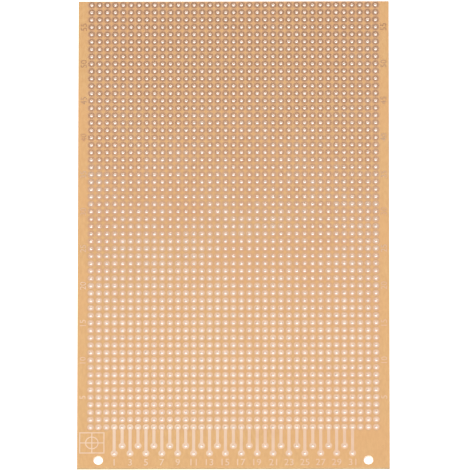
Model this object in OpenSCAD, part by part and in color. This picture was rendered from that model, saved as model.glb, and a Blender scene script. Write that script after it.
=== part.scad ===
// Prototype board of the single Eurocard size. A sheet of phenolic paper is drilled on a
// fine grid, and each hole has its own copper pad on the top face. The last row at the
// front end feeds the staggered footprint of an edge connector.
// The board lies flat with its copper side up. The origin is the middle of the bottom
// face, the width runs along X, the length along Y, and the connector end is at -Y.

/* [Board] */
// Width of the board, across its columns of holes
board_w = 100; // [60:1:160]
// Length of the board, from the connector end to the far end
board_l = 160; // [60:1:240]
// Thickness of the laminate without its copper
board_t = 1.5; // [0.8:0.1:3.2]
// Thickness of the copper foil
foil_t = 0.035; // [0.018:0.001:0.105]

/* [Hole grid] */
// Distance between the centres of neighbouring holes
pitch = 2.54; // [2.5:0.01:5.08]
// Diameter of a solder hole
hole_d = 1.0; // [0.7:0.05:1.3]
// Diameter of a solder pad
pad_d = 2.1; // [1.6:0.05:2.3]
// Distance from the rear edge to the centres of the first row
rear_margin = 1.3; // [1.2:0.1:20]
// Least distance from a side edge to the centres of the outer columns
side_margin = 4.1; // [1.3:0.1:15]
// Least distance from the front edge to the centres of the last row
front_margin = 13.6; // [13.2:0.1:40]

/* [Connector footprint] */
// Most contacts that the connector has
contact_count = 31; // [5:2:31]
// Diameter of the pad at the front end of a track
contact_pad_d = 2.2; // [1.6:0.05:2.4]
// Width of a track between its two pads
track_w = 1.0; // [0.4:0.05:1.5]
// Length of a short track, between the centres of its pads
short_track_l = 6.35; // [4:0.05:7]
// Distance from the front pads of the short tracks to those of the long ones
stagger = 2.54; // [2.4:0.02:3]

/* [Connector screw holes] */
// Diameter of a screw hole
screw_hole_d = 3.0; // [2.2:0.1:3.4]
// Columns from the outermost contact to a screw hole
screw_hole_columns = 2; // [1:1:3]
// Distance from the front edge to the centres of the screw holes
screw_hole_inset = 2.7; // [2.2:0.1:3]

/* [Corner mark] */
// Width of the frame round the mark
mark_w = 8.1; // [6:0.1:8.4]
// Length of the frame round the mark
mark_l = 7.2; // [5:0.1:7.4]
// Width of the lines of the mark
mark_line = 0.35; // [0.2:0.05:0.5]
// Diameter of the ring in the frame, to the middle of its line
mark_ring_d = 4.0; // [2:0.1:4.4]
// Distance from the side edge to the frame
mark_side_inset = 0.7; // [0.4:0.1:1]
// Distance from the front edge to the frame
mark_front_inset = 5.0; // [4.8:0.1:5.4]

/* [Hidden] */

// Enough sides that every round hole and pad reads as round
$fn = 32;

columns = floor((board_w - 2 * side_margin) / pitch) + 1;
rows = floor((board_l - rear_margin - front_margin) / pitch) + 1;
first_column_x = -(columns - 1) * pitch / 2;
first_row_y = board_l / 2 - rear_margin;
last_row_y = first_row_y - (rows - 1) * pitch;

// The contacts stand on whole columns, in the middle of the board
spare_columns = 2 * screw_hole_columns;
contacts = min(contact_count, columns - spare_columns);
first_contact = floor((columns - contacts) / 2);
last_contact = first_contact + contacts - 1;
long_track_l = short_track_l + stagger;
screw_hole_y = -board_l / 2 + screw_hole_inset;

// How far a drill passes each face of the board
drill_over = 1;

function column_x(column) = first_column_x + column * pitch;
function row_y(row) = first_row_y - row * pitch;
function is_contact(column) = column >= first_contact && column <= last_contact;
// Every second contact, from the first one on, has a long track
function is_long(column) = (column - first_contact) % 2 == 0;
function track_l(column) = is_long(column) ? long_track_l : short_track_l;

// A bare ring of foil round one hole
module pad() {
    rotate_extrude()
        translate([hole_d / 2, 0])
            square([(pad_d - hole_d) / 2, foil_t]);
}

// The hole's own pad, the track to the front and the pad at its end, in one piece of foil
module contact_track(track_l) {
    linear_extrude(foil_t)
        difference() {
            union() {
                circle(d = pad_d);
                translate([-track_w / 2, -track_l])
                    square([track_w, track_l]);
                translate([0, -track_l])
                    circle(d = contact_pad_d);
            }
            circle(d = hole_d);
            translate([0, -track_l])
                circle(d = hole_d);
        }
}

module frame_line(w, l) {
    difference() {
        square([w, l], center = true);
        square([w - 2 * mark_line, l - 2 * mark_line], center = true);
    }
}

module ring_line(d) {
    difference() {
        circle(d = d + mark_line);
        circle(d = d - mark_line);
    }
}

// Drilled right through, so that no skin is left on either face
module drill(x, y, d) {
    translate([x, y, -drill_over])
        cylinder(d = d, h = board_t + 2 * drill_over);
}

module laminate() {
    color("burlywood")
        difference() {
            translate([-board_w / 2, -board_l / 2, 0])
                cube([board_w, board_l, board_t]);
            for (row = [0 : rows - 1], column = [0 : columns - 1])
                drill(column_x(column), row_y(row), hole_d);
            for (column = [first_contact : last_contact])
                drill(column_x(column), last_row_y - track_l(column), hole_d);
            for (column = [first_contact - screw_hole_columns, last_contact + screw_hole_columns])
                drill(column_x(column), screw_hole_y, screw_hole_d);
        }
}

module solder_pads() {
    color("peru")
        for (row = [0 : rows - 1])
            for (column = [0 : columns - 1])
                if (row < rows - 1 || !is_contact(column))
                    translate([column_x(column), row_y(row), board_t])
                        pad();
}

module long_contact_tracks() {
    color("peachpuff")
        for (column = [first_contact : last_contact])
            if (is_long(column))
                translate([column_x(column), last_row_y, board_t])
                    contact_track(long_track_l);
}

module short_contact_tracks() {
    color("peachpuff")
        for (column = [first_contact : last_contact])
            if (!is_long(column))
                translate([column_x(column), last_row_y, board_t])
                    contact_track(short_track_l);
}

// A plain target in a frame, etched in the foil of the front left corner
module corner_mark() {
    color("peachpuff")
        translate([
            -board_w / 2 + mark_side_inset + mark_w / 2,
            -board_l / 2 + mark_front_inset + mark_l / 2,
            board_t
        ])
            linear_extrude(foil_t)
                union() {
                    frame_line(mark_w, mark_l);
                    ring_line(mark_ring_d);
                    square([mark_w - mark_line, mark_line], center = true);
                    square([mark_line, mark_l - mark_line], center = true);
                }
}

laminate();
solder_pads();
long_contact_tracks();
short_contact_tracks();
corner_mark();
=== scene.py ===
import math

import bmesh
import bpy
from mathutils import Matrix, Vector


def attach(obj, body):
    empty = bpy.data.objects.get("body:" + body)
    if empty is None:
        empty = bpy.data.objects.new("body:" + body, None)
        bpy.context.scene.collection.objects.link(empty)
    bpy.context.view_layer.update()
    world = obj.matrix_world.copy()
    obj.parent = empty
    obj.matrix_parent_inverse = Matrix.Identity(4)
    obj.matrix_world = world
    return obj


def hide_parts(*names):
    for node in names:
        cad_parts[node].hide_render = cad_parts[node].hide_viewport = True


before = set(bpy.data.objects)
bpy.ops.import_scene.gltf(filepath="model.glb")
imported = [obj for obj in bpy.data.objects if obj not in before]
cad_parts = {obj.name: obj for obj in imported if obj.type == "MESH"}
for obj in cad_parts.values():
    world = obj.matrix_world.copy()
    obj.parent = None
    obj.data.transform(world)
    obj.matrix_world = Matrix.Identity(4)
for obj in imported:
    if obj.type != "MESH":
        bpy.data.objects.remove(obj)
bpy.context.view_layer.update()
scene = bpy.context.scene
scene.view_settings.view_transform = "Standard"

# Sizes of the board in metres, as the construction has them
BOARD_W, BOARD_L, BOARD_T = 0.100, 0.160, 0.0015
FOIL_T = 0.000035
TOP = BOARD_T + FOIL_T
PITCH = 0.00254
HALF_PITCH = PITCH / 2
COLUMNS, ROWS = 37, 58
REAR_MARGIN = 0.0013
HOLE_R = 0.0005
PAD_R = 0.00105
FIRST_X = -(COLUMNS - 1) * PITCH / 2
FIRST_Y = BOARD_L / 2 - REAR_MARGIN
LAST_Y = FIRST_Y - (ROWS - 1) * PITCH
FIRST_CONTACT, LAST_CONTACT = 3, 33
SHORT_TRACK, LONG_TRACK = 0.00635, 0.00889
SCREW_R = 0.0015
SCREW_INSET = 0.0027
SCREW_COLUMNS = (FIRST_CONTACT - 2, LAST_CONTACT + 2)

# How many sides a hole and its pad have
HOLE_SIDES = 16
# The rounding that shearing and handling leave along the board's outline
EDGE_WEAR = 0.00012
# How far the foot of a pad stands out from under its top
FOOT_SLOPE = 0.000015
# Edges that bend less than this are shaded round, on the laminate and on the pads
LAMINATE_SMOOTH, PAD_SMOOTH = math.radians(50), math.radians(35)
# Row numbers stand one pitch outside the grid, contact numbers near the front edge
ROW_NUMBER_X, ROW_NUMBER_H = PITCH - FIRST_X, 0.0019
CONTACT_NUMBER_Y, CONTACT_NUMBER_H = -0.0780, 0.0022
ROW_NUMBER_STEP = 5
# The board's numerals are a little wider than the font's
NUMBER_STRETCH = 1.05
# A face of a number smaller than this, in the font's own size, has no real width
SLIVER = 1e-8
# Lengths below this count as nothing
NIL = 1e-6
# A hair's breadth, so that the floor and the board's underside never share a plane
FLOOR_GAP = 0.00003
# How far the floor reaches to each side
FLOOR_REACH = 12


def column_x(column):
    return FIRST_X + column * PITCH


def row_y(row):
    return FIRST_Y - row * PITCH


def contact_y(column):
    return LAST_Y - (SHORT_TRACK if (column - FIRST_CONTACT) % 2 else LONG_TRACK)


class Finish:
    """A node material in the making, with the shader's plain values set on its own sockets."""

    def __init__(self, name, **values):
        self.material = bpy.data.materials.new(name)
        self.material.use_nodes = True
        self.tree = self.material.node_tree
        self.shader = self.tree.nodes["Principled BSDF"]
        for socket, value in values.items():
            self.shader.inputs[socket.replace("_", " ")].default_value = value
        self.place = self.node("ShaderNodeTexCoord").outputs["Object"]

    def node(self, kind, inputs=(), **settings):
        made = self.tree.nodes.new(kind)
        for key, value in settings.items():
            setattr(made, key, value)
        for socket, value in dict(inputs).items():
            if isinstance(value, bpy.types.NodeSocket):
                self.tree.links.new(value, made.inputs[socket])
            else:
                made.inputs[socket].default_value = value
        return made

    def feed(self, socket, value):
        self.tree.links.new(value, self.shader.inputs[socket])

    def split(self, vector):
        return self.node("ShaderNodeSeparateXYZ", {"Vector": vector}).outputs

    def stretched(self, scale):
        return self.node("ShaderNodeMapping", {"Vector": self.place, "Scale": scale}).outputs[0]

    def noise(self, scale, detail, roughness, vector=None):
        return self.node("ShaderNodeTexNoise", {
            "Vector": vector or self.place, "Scale": scale, "Detail": detail,
            "Roughness": roughness}).outputs["Fac"]

    def band(self, value, low, high, to_low=0.0, to_high=1.0):
        """Goes smoothly from to_low to to_high while value goes from low to high."""
        return self.node("ShaderNodeMapRange", {
            "Value": value, "From Min": low, "From Max": high,
            "To Min": to_low, "To Max": to_high}, interpolation_type="SMOOTHSTEP").outputs["Result"]

    def combine(self, operation, a, b):
        return self.node("ShaderNodeMath", {0: a, 1: b}, operation=operation).outputs[0]

    def within(self, value, low, high, soft):
        """1 between low and high, and fading out over soft on each side of both ends."""
        return self.combine(
            "MULTIPLY", self.band(value, low - soft, low + soft),
            self.band(value, high - soft, high + soft, 1.0, 0.0))

    def mix(self, factor, a, b):
        """Mixes two colours, which this node has on its sockets 6 and 7 and gives out on 2."""
        return self.node("ShaderNodeMix", {0: factor, 6: a, 7: b}, data_type="RGBA").outputs[2]

    def bump(self, height, distance, strength, under=None):
        inputs = {"Height": height, "Distance": distance, "Strength": strength}
        if under is not None:
            inputs["Normal"] = under
        return self.node("ShaderNodeBump", inputs).outputs["Normal"]

    def grid_cell(self):
        """The place counted in pitches, so that each hole of the grid has a whole cell round it."""
        return self.node("ShaderNodeMapping", {
            "Vector": self.place, "Location": (-FIRST_X / PITCH + 0.5, -LAST_Y / PITCH + 0.5, 0),
            "Scale": (1 / PITCH, 1 / PITCH, 0)}).outputs[0]

    def from_hole(self, cell):
        """Distance in metres to the middle of the cell's hole."""
        middle = (0.5, 0.5, 0)
        part = self.node("ShaderNodeVectorMath", {0: cell}, operation="FRACTION").outputs[0]
        off = self.node("ShaderNodeVectorMath", {0: part, 1: middle}, operation="SUBTRACT").outputs[0]
        length = self.node("ShaderNodeVectorMath", {0: off}, operation="LENGTH").outputs["Value"]
        return self.combine("MULTIPLY", length, PITCH)

    def of_hole(self, cell):
        """A value from 0 to 1 that is the same all over a cell and another one in the next."""
        whole = self.node("ShaderNodeVectorMath", {0: cell}, operation="FLOOR").outputs[0]
        noise = self.node("ShaderNodeTexWhiteNoise", {"Vector": whole}, noise_dimensions="3D")
        return noise.outputs["Value"]


def laminate_face():
    """Resin over paper: fibres along the sheet, clouds, and darker specks of pulp."""
    deep, pale = (0.76, 0.43, 0.18, 1), (0.84, 0.51, 0.225, 1)
    clouded, speck = (0.83, 0.45, 0.195, 1), (0.55, 0.28, 0.11, 1)
    pad_shadow_tone, pad_shade_resin = (0.40, 0.20, 0.08, 1), (0.47, 0.27, 0.23, 1)
    f = Finish("phenolic_paper", Roughness=0.5, IOR=1.5)
    fibre = f.noise(1500, 5, 0.6, f.stretched((1, 0.35, 1)))
    cloud = f.noise(38, 3, 0.5)
    pulp = f.noise(2600, 2, 0.5)
    tone = f.mix(f.band(fibre, 0.25, 0.75), deep, pale)
    tone = f.mix(f.band(cloud, 0.35, 0.65, 0.0, 0.5), tone, clouded)
    tone = f.mix(f.band(pulp, 0.66, 0.76, 0.0, 0.5), tone, speck)

    cell = f.grid_cell()
    radius = f.from_hole(cell)
    cells = f.split(cell)
    place = f.split(f.place)
    on_columns = f.within(cells["X"], 0, COLUMNS, 0.2)
    on_grid = f.combine("MULTIPLY", on_columns, f.within(cells["Y"], 0, ROWS, 0.2))
    # Painted shadow: the paper lets a little light through, so from below each pad is painted as a faint
    # darker spot, its shadow through the paper
    pad_shadow_spot = f.combine("MULTIPLY", on_grid, f.band(radius, 0.8 * PAD_R, PAD_R, 0.16, 0.0))
    tone = f.mix(pad_shadow_spot, tone, pad_shadow_tone)
    # Painted shade: the resin is darker close round the pads, and most of all at the rear
    pad_shade_mask = f.combine("MULTIPLY", f.band(place["Z"], 0.4 * BOARD_T, 0.6 * BOARD_T), on_grid)
    pad_shade_mask = f.combine("MULTIPLY", pad_shade_mask, f.band(radius, 1.05 * PAD_R, 0.58 * PITCH, 1.0, 0.0))
    dull = f.combine("MULTIPLY", pad_shade_mask, f.band(place["Y"], -0.04, 0.08, 0.24, 0.5))
    tone = f.mix(dull, tone, pad_shade_resin)

    f.feed("Base Color", tone)
    f.feed("Roughness", f.band(fibre, 0.3, 0.7, 0.42, 0.58))
    f.feed("Normal", f.bump(f.noise(5200, 3, 0.6), 0.00001, 0.5))
    return f.material


def punched_wall():
    """The wall of a punched hole: glossy, with faint plies of paper, and nearly white, partly its own pale
    fibre and partly painted light that comes through the paper.
    """
    # Painted light: both tones are near white to stand for light that comes through the paper into the
    # hole
    warm, pale = (0.99, 0.70, 0.42, 1), (0.99, 0.77, 0.52, 1)
    f = Finish("punched_paper_edge", Roughness=0.3, IOR=1.55,
               Coat_Weight=1.0, Coat_Roughness=0.2, Coat_IOR=1.7)
    plies = f.noise(900, 3, 0.6, f.stretched((0.15, 0.15, 8)))
    f.feed("Base Color", f.mix(f.band(plies, 0.35, 0.65), warm, pale))
    f.feed("Normal", f.bump(plies, 0.00003, 0.6))
    return f.material


def sheared_side():
    """The sheared outline: matt, with its plies open and small chips out of them."""
    brown, pale, chipped = (0.53, 0.35, 0.17, 1), (0.72, 0.52, 0.28, 1), (0.43, 0.26, 0.12, 1)
    f = Finish("sheared_paper_edge", Roughness=0.75, IOR=1.5)
    plies = f.noise(1400, 4, 0.6, f.stretched((0.12, 0.12, 6)))
    chips = f.noise(1100, 3, 0.6)
    tone = f.mix(f.band(plies, 0.35, 0.65), brown, pale)
    f.feed("Base Color", f.mix(f.band(chips, 0.55, 0.7, 0.0, 0.5), tone, chipped))
    f.feed("Normal", f.bump(plies, 0.00005, 0.7, f.bump(chips, 0.00008, 0.5)))
    return f.material


def copper(name, bright, corner_shade):
    """Scrubbed foil with tarnish that differs at random, and painted reflection and shade that make it
    palest at the front and browner towards the rear.
    """
    dull = (0.85, 0.49, 0.29, 1)
    by_cloud, by_hole = 0.25, 0.12
    f = Finish(name, Metallic=1.0, Roughness=0.35)
    scrub = f.noise(900, 4, 0.6, f.stretched((5, 0.5, 1)))
    cloud = f.noise(55, 3, 0.55)
    place = f.split(f.place)
    # Painted reflection and shade: the foil goes from pale at the front to brown at the rear; clouds and
    # holes add tarnish at random
    rear_shade = f.band(place["Y"], -0.085, 0.085)
    tarnish_and_shade = f.combine("ADD", rear_shade, f.band(cloud, 0.25, 0.75, -by_cloud, by_cloud))
    tarnish_and_shade = f.combine("ADD", tarnish_and_shade, f.band(f.of_hole(f.grid_cell()), 0.0, 1.0, -by_hole, by_hole))
    tone = f.mix(f.band(tarnish_and_shade, 0.0, 1.0), bright, dull)
    # Painted shade: the front is a little duller towards its right corner, where the reflection of the
    # lamps fades
    to_right = f.band(place["X"], -0.04, 0.05, 0.0, corner_shade)
    corner = f.combine("MULTIPLY", to_right, f.band(place["Y"], -0.085, 0.0, 1.0, 0.0))
    f.feed("Base Color", f.mix(corner, tone, dull))
    f.feed("Roughness", f.band(scrub, 0.3, 0.7, 0.30, 0.42))
    f.feed("Normal", f.bump(scrub, 0.000004, 0.6))
    return f.material


def as_object(bm, name, *materials, smooth_angle=None):
    mesh = bpy.data.meshes.new(name)
    bm.to_mesh(mesh)
    bm.free()
    for material in materials:
        mesh.materials.append(material)
    if smooth_angle is not None:
        mesh.shade_smooth()
        mesh.set_sharp_from_angle(angle=smooth_angle)
    obj = bpy.data.objects.new(name, mesh)
    scene.collection.objects.link(obj)
    return obj


def verts_of(geom):
    return [part for part in geom if isinstance(part, bmesh.types.BMVert)]


def copied(bm, geom, step, count):
    """Repeats geom until it is there count times, each copy one step further on."""
    made = list(geom)
    last = list(geom)
    for _ in range(count - 1):
        last = bmesh.ops.duplicate(bm, geom=last)["geom"]
        bmesh.ops.translate(bm, vec=step, verts=verts_of(last))
        made += last
    return made


def repeated_over_grid(bm, rows):
    """Repeats all that bm holds over every column and over so many rows towards the front."""
    row = copied(bm, bm.verts[:] + bm.edges[:] + bm.faces[:], (PITCH, 0, 0), COLUMNS)
    copied(bm, row, (0, -PITCH, 0), rows)


def drilled_patch(bm, x_low, x_high, y_low, y_high, x, y, r):
    """A flat rectangle round one hole: the hole's edge is drawn out to the rectangle's corners."""
    ring = bmesh.ops.create_circle(
        bm, cap_ends=False, radius=r, segments=HOLE_SIDES, matrix=Matrix.Translation((x, y, 0)))["verts"]
    edges = list(dict.fromkeys(e for v in ring for e in v.link_edges))
    between = []
    for v in verts_of(bmesh.ops.extrude_edge_only(bm, edges=edges)["geom"]):
        across, along = v.co.x - x, v.co.y - y
        side_x = x_high if across > 0 else x_low
        side_y = y_high if along > 0 else y_low
        if abs(abs(across) - abs(along)) < NIL:
            v.co.x, v.co.y = side_x, side_y
            continue
        if abs(across) > abs(along):
            v.co.x, v.co.y = side_x, y + abs(side_y - y) * along / abs(across)
        else:
            v.co.x, v.co.y = x + abs(side_x - x) * across / abs(along), side_y
        between.append(v)
    bmesh.ops.dissolve_verts(bm, verts=between)


def drilled_sheet(bm):
    """The underside with every hole, as one flat sheet."""
    x, y = column_x(0), row_y(0)
    drilled_patch(bm, x - HALF_PITCH, x + HALF_PITCH, y - HALF_PITCH, y + HALF_PITCH, x, y, HOLE_R)
    repeated_over_grid(bm, ROWS)
    front, rear = -BOARD_L / 2, LAST_Y - HALF_PITCH
    for column in range(FIRST_CONTACT, LAST_CONTACT + 1):
        x = column_x(column)
        drilled_patch(bm, x - HALF_PITCH, x + HALF_PITCH, front, rear, x, contact_y(column), HOLE_R)
    screw_y, reach = front + SCREW_INSET, 3 * HALF_PITCH
    for column in SCREW_COLUMNS:
        x = column_x(column)
        drilled_patch(bm, x - reach, x + reach, front, rear, x, screw_y, SCREW_R)
    bmesh.ops.remove_doubles(bm, verts=bm.verts, dist=NIL)
    for side in (-1, 1):
        grid_side = side * (column_x(COLUMNS - 1) + HALF_PITCH)
        edges = [e for e in bm.edges
                 if e.is_boundary and all(abs(v.co.x - grid_side) < NIL for v in e.verts)]
        for v in verts_of(bmesh.ops.extrude_edge_only(bm, edges=edges)["geom"]):
            v.co.x = side * BOARD_W / 2
    # The first row stands so near the rear edge that its own patches reach it
    for v in bm.verts:
        if v.co.y > row_y(0) + HALF_PITCH - NIL:
            v.co.y = BOARD_L / 2
    bmesh.ops.recalc_face_normals(bm, faces=bm.faces)
    if sum(f.normal.z for f in bm.faces) > 0:
        bmesh.ops.reverse_faces(bm, faces=bm.faces)


def on_outline(e):
    return any(all(abs(abs(v.co[axis]) - reach) < NIL for v in e.verts)
               for axis, reach in ((0, BOARD_W / 2), (1, BOARD_L / 2)))


def is_flat(f):
    """Whether a face belongs to the top or the underside."""
    return abs(f.normal.z) > 0.99


def board_laminate(face, punched, sheared):
    bm = bmesh.new()
    drilled_sheet(bm)
    top = bmesh.ops.extrude_face_region(bm, geom=bm.faces[:], use_keep_orig=True)["geom"]
    bmesh.ops.translate(bm, vec=(0, 0, BOARD_T), verts=verts_of(top))
    bmesh.ops.recalc_face_normals(bm, faces=bm.faces)
    slots = [face, punched, sheared]
    for f in bm.faces:
        if not is_flat(f):
            f.material_index = slots.index(sheared if all(on_outline(e) for e in f.edges) else punched)
    outline = [e for e in bm.edges if on_outline(e) and abs(e.verts[0].co.z - e.verts[1].co.z) < NIL]
    bmesh.ops.bevel(bm, geom=outline, offset=EDGE_WEAR, offset_type="OFFSET", segments=2, profile=0.5,
                    affect="EDGES", material=-1, clamp_overlap=True)
    # Both faces stay flat to their very edge, and only what is round is shaded round
    for f in bm.faces:
        f.smooth = True
    for e in bm.edges:
        one_kind = len({is_flat(f) for f in e.link_faces}) == 1
        e.smooth = one_kind and e.calc_face_angle(0) < LAMINATE_SMOOTH
    return as_object(bm, "drilled_laminate", *slots)


def pad_ring(bm, x, y):
    """One pad: a foil ring round its hole, a little wider at its foot, as etching leaves it."""
    profile = [bm.verts.new((x + r, y, z)) for r, z in (
        (HOLE_R, BOARD_T), (HOLE_R, TOP), (PAD_R - FOOT_SLOPE, TOP), (PAD_R, BOARD_T))]
    edges = [bm.edges.new(ends) for ends in zip(profile, profile[1:] + profile[:1])]
    bmesh.ops.spin(bm, geom=profile + edges, cent=(x, y, 0), axis=(0, 0, 1), angle=2 * math.pi,
                   steps=HOLE_SIDES, use_merge=True, use_duplicate=False)
    bmesh.ops.remove_doubles(bm, verts=bm.verts, dist=FOIL_T / 100)
    bmesh.ops.recalc_face_normals(bm, faces=bm.faces)


def pad_rows(name, first, last, material):
    bm = bmesh.new()
    pad_ring(bm, column_x(0), row_y(first))
    repeated_over_grid(bm, last - first + 1)
    if last == ROWS - 1:
        # The last row's pads between the corners belong to the tracks
        low, high = column_x(FIRST_CONTACT) - HALF_PITCH, column_x(LAST_CONTACT) + HALF_PITCH
        on_tracks = [v for v in bm.verts if v.co.y < LAST_Y + HALF_PITCH and low < v.co.x < high]
        bmesh.ops.delete(bm, geom=on_tracks, context="VERTS")
    return as_object(bm, name, material, smooth_angle=PAD_SMOOTH)


def close_number(mesh):
    """Joins a number's caps to its sides. The filling leaves slivers between points on one line,
    which go when their long edge is turned."""
    bm = bmesh.new()
    bm.from_mesh(mesh)
    bmesh.ops.remove_doubles(bm, verts=bm.verts, dist=FOIL_T / 4)
    for sliver in [f for f in bm.faces if f.calc_area() < SLIVER]:
        if sliver.is_valid:
            bmesh.utils.edge_rotate(max(sliver.edges, key=lambda e: e.calc_length()))
    bm.to_mesh(mesh)
    bm.free()


def foil_number(text, x, y, height, turn):
    """A number in foil, centred on its place and turned by so many degrees."""
    curve = bpy.data.curves.new("number_" + text, "FONT")
    curve.body = text
    curve.size = 1.0
    curve.extrude = FOIL_T / 2
    curve.resolution_u = 3
    holder = bpy.data.objects.new("number_" + text, curve)
    scene.collection.objects.link(holder)
    bpy.context.view_layer.update()
    mesh = bpy.data.meshes.new_from_object(holder)
    bpy.data.objects.remove(holder)
    close_number(mesh)
    low_x, high_x = min(v.co.x for v in mesh.vertices), max(v.co.x for v in mesh.vertices)
    low_y, high_y = min(v.co.y for v in mesh.vertices), max(v.co.y for v in mesh.vertices)
    size = height / (high_y - low_y)
    mesh.transform(Matrix.Translation((-(low_x + high_x) / 2, -(low_y + high_y) / 2, 0)))
    mesh.transform(Matrix.Diagonal((size * NUMBER_STRETCH, size, 1, 1)))
    mesh.transform(Matrix.Rotation(math.radians(turn), 4, "Z"))
    mesh.transform(Matrix.Translation((x, y, BOARD_T + FOIL_T / 2)))
    return mesh


def numbers(name, labels, height, turn, material):
    bm = bmesh.new()
    for text, x, y in labels:
        bm.from_mesh(foil_number(text, x, y, height, turn))
    return as_object(bm, name, material)


def pale_floor():
    """A plain floor that looks white and still takes the board's shadow."""
    bm = bmesh.new()
    bmesh.ops.create_grid(
        bm, x_segments=2, y_segments=2, size=FLOOR_REACH, matrix=Matrix.Translation((0, 0, -FLOOR_GAP)))
    f = Finish("pale_floor", Roughness=0.9)
    f.shader.inputs["Base Color"].default_value = (0.88, 0.88, 0.88, 1)
    path = f.node("ShaderNodeLightPath").outputs
    seen = f.combine("MAXIMUM", path["Is Camera Ray"], path["Is Glossy Ray"])
    seen = f.combine("MAXIMUM", seen, path["Is Transmission Ray"])
    strength = f.combine("MULTIPLY", seen, 0.85)
    glow = f.node("ShaderNodeEmission", {"Color": (1, 1, 1, 1), "Strength": strength})
    both = f.node("ShaderNodeAddShader", {0: f.shader.outputs[0], 1: glow.outputs[0]})
    f.tree.links.new(both.outputs[0], f.tree.nodes["Material Output"].inputs["Surface"])
    as_object(bm, "floor", f.material)


def studio_world():
    """A white room that is brightest near the horizon and dimmer overhead."""
    world = bpy.data.worlds.new("studio")
    scene.world = world
    world.use_nodes = True
    tree = world.node_tree
    place = tree.nodes.new("ShaderNodeTexCoord")
    split = tree.nodes.new("ShaderNodeSeparateXYZ")
    tree.links.new(place.outputs["Generated"], split.inputs[0])
    rise = tree.nodes.new("ShaderNodeMapRange")
    rise.interpolation_type = "SMOOTHSTEP"
    tree.links.new(split.outputs["Z"], rise.inputs["Value"])
    for socket, value in (("From Min", 0.1), ("From Max", 0.7), ("To Min", 1.0), ("To Max", 0.36)):
        rise.inputs[socket].default_value = value
    tree.links.new(rise.outputs["Result"], tree.nodes["Background"].inputs["Strength"])
    tree.nodes["Background"].inputs["Color"].default_value = (1, 1, 1, 1)


def soft_box(name, place, aim, width, depth, radiance):
    light = bpy.data.lights.new(name, "AREA")
    light.shape = "RECTANGLE"
    light.size, light.size_y = width, depth
    light.energy = radiance * math.pi * width * depth
    holder = bpy.data.objects.new(name, light)
    scene.collection.objects.link(holder)
    holder.location = place
    holder.rotation_mode = "QUATERNION"
    holder.rotation_quaternion = (Vector(aim) - Vector(place)).to_track_quat("-Z", "Y")
    holder.visible_camera = False


def camera():
    """A long lens six metres away, tilted 20.5 degrees from straight down, as in the photograph."""
    tilt, roll, turn = (math.radians(angle) for angle in (-20.529, -0.335, -0.031))
    to_lens = Matrix.Rotation(turn, 3, "Z") @ Matrix.Rotation(tilt, 3, "X") @ Matrix.Rotation(roll, 3, "Y")
    # The camera's place from the middle of the top face, along its own three directions
    away = Vector((0.00049, -0.00048, 6.0))
    data = bpy.data.cameras.new("camera")
    data.sensor_width = 36
    data.lens = 1431.72
    data.clip_start, data.clip_end = 0.5, 60
    holder = bpy.data.objects.new("camera", data)
    scene.collection.objects.link(holder)
    pose = to_lens.transposed().to_4x4()
    pose.translation = to_lens.transposed() @ away + Vector((0, 0, TOP))
    holder.matrix_world = pose
    scene.camera = holder


pad_copper = copper("pad_copper", bright=(0.92, 0.65, 0.47, 1), corner_shade=0.1)
track_copper = copper("track_copper", bright=(0.95, 0.71, 0.53, 1), corner_shade=0.36)

laminate = board_laminate(laminate_face(), punched_wall(), sheared_side())
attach(laminate, "root")
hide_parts("laminate")

rear_pads = pad_rows("rear_pads", 0, ROWS // 2 - 1, pad_copper)
front_pads = pad_rows("front_pads", ROWS // 2, ROWS - 1, pad_copper)
for pads in (rear_pads, front_pads):
    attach(pads, "root")
    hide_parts("solder_pads")

for node in ("long_contact_tracks", "short_contact_tracks", "corner_mark"):
    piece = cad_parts[node]
    piece.data.materials.clear()
    piece.data.materials.append(track_copper)

# Rows are counted from the front, from 1, on both margins, and of the contacts only the odd ones
row_labels = [(str(n), side * ROW_NUMBER_X, row_y(ROWS - n))
              for n in range(ROW_NUMBER_STEP, ROWS, ROW_NUMBER_STEP) for side in (-1, 1)]
contact_labels = [(str(column - FIRST_CONTACT + 1), column_x(column), CONTACT_NUMBER_Y)
                  for column in range(FIRST_CONTACT, LAST_CONTACT + 1, 2)]
row_numbers = numbers("row_numbers", row_labels, ROW_NUMBER_H, 90, track_copper)
contact_numbers = numbers("contact_numbers", contact_labels, CONTACT_NUMBER_H, 0, track_copper)
for piece in (row_numbers, contact_numbers):
    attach(piece, "root")

pale_floor()
studio_world()
soft_box("key", place=(-0.85, -1.54, 1.87), aim=(0, 0, 0), width=1.28, depth=1.28, radiance=3.7)
soft_box("fill", place=(-0.19, -0.85, 2.27), aim=(0, 0, 0), width=1.12, depth=1.12, radiance=3.6)
soft_box("over_the_rear", place=(0, 0.04, 0.30), aim=(0, 0.04, 0), width=0.30, depth=0.146, radiance=0.76)
camera()
